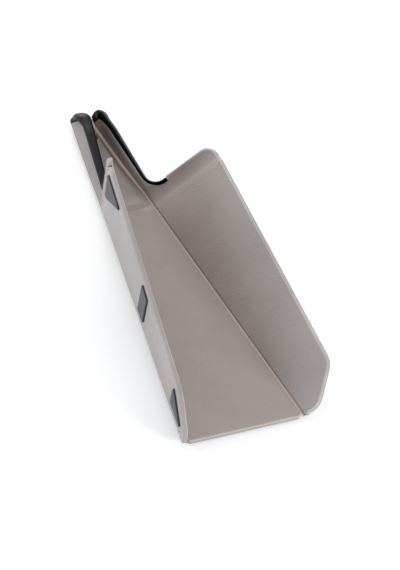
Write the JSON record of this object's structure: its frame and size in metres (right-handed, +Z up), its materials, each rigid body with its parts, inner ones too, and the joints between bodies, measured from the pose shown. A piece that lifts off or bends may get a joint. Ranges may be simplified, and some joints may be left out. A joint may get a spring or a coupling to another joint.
{
  "type": "folding chopping board",
  "caption": "Folding chopping board: a flat tapered base panel with two hinged wings that fold up into a chute, soft-edged split handle with a hanging hole, rubber pads beneath.",
  "frame": {"origin": "on the base panel's flat underside, on its centre line, 130 mm behind the front edge", "axes": "+Z up off the base panel, +Y from the pouring front edge towards the handle, +X to the right wing"},
  "size_m": [0.1628, 0.3812, 0.084],
  "materials": {
    "panel": "fine matte texture, taupe polypropylene",
    "web": "thin worked polypropylene, slightly paler",
    "grip": "soft-touch overmould, black",
    "pad": "smooth grey anti-slip rubber"
  },
  "bodies": {
    "base": {"base_panel": "panel", "left_hinge_web": "web", "right_hinge_web": "web"},
    "left": {"left_wing": "panel", "left_grip": "grip", "left_rear_pad": "pad", "left_middle_pad": "pad", "left_front_pad": "pad"},
    "right": {"right_wing": "panel", "right_grip": "grip", "right_rear_pad": "pad", "right_middle_pad": "pad", "right_front_pad": "pad"}
  },
  "joints": [
    {"name": "left_fold", "type": "hinge", "parent": "base", "child": "left", "pos_m": [-0.0615, -0.13, 0.0039], "axis": [-0.1369, -0.9906, 0], "range_deg": [0, 77], "deforming": ["left_hinge_web"]},
    {"name": "right_fold", "type": "hinge", "parent": "base", "child": "right", "pos_m": [0.0615, -0.13, 0.0039], "axis": [-0.1369, 0.9906, 0], "range_deg": [0, 54], "deforming": ["right_hinge_web"]}
  ]
}
